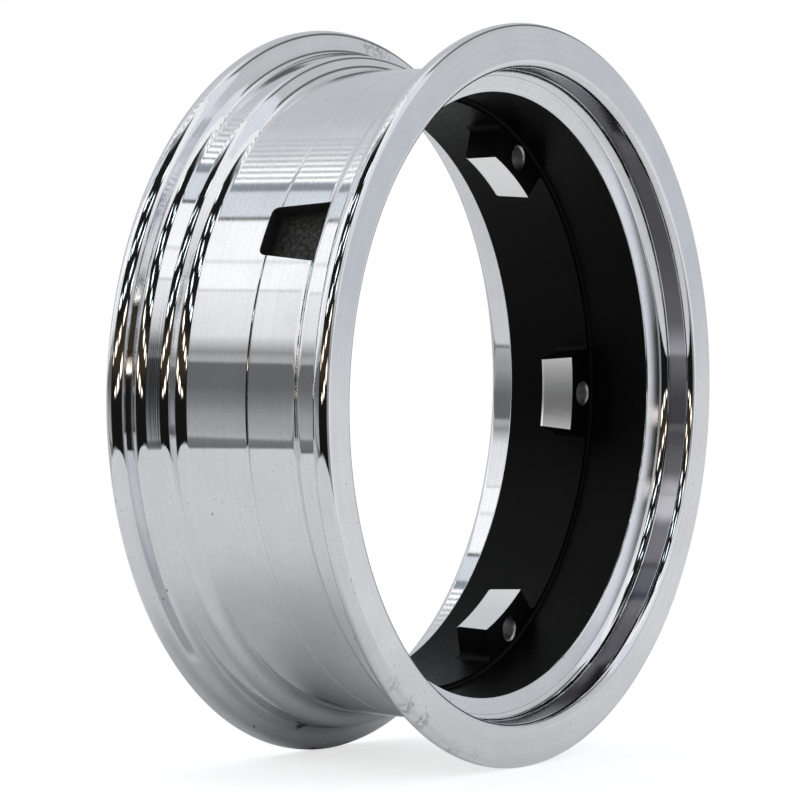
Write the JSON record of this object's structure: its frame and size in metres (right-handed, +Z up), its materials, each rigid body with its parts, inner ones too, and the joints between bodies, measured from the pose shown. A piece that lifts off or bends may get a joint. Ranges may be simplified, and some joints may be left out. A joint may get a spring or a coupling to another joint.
{
  "type": "scooter wheel rim",
  "caption": "Small wide alloy wheel rim with two tyre flanges, a drop well with a valve pocket, and drilled lugs inside the bore for bolting it round a hub.",
  "frame": {"origin": "centre of the wheel, on the axle line in the middle plane between the two end faces", "axes": "+Y along the axle line from the front face to the back face, +Z up with the wheel standing on its edge, +X through the first lug"},
  "size_m": [0.178, 0.0616, 0.178],
  "materials": {
    "rim_alloy": "turned and polished outside and at both ends, black satin paint on the cast inside, bare bored lug faces"
  },
  "bodies": {
    "root": {"rim": "rim_alloy"}
  },
  "joints": []
}
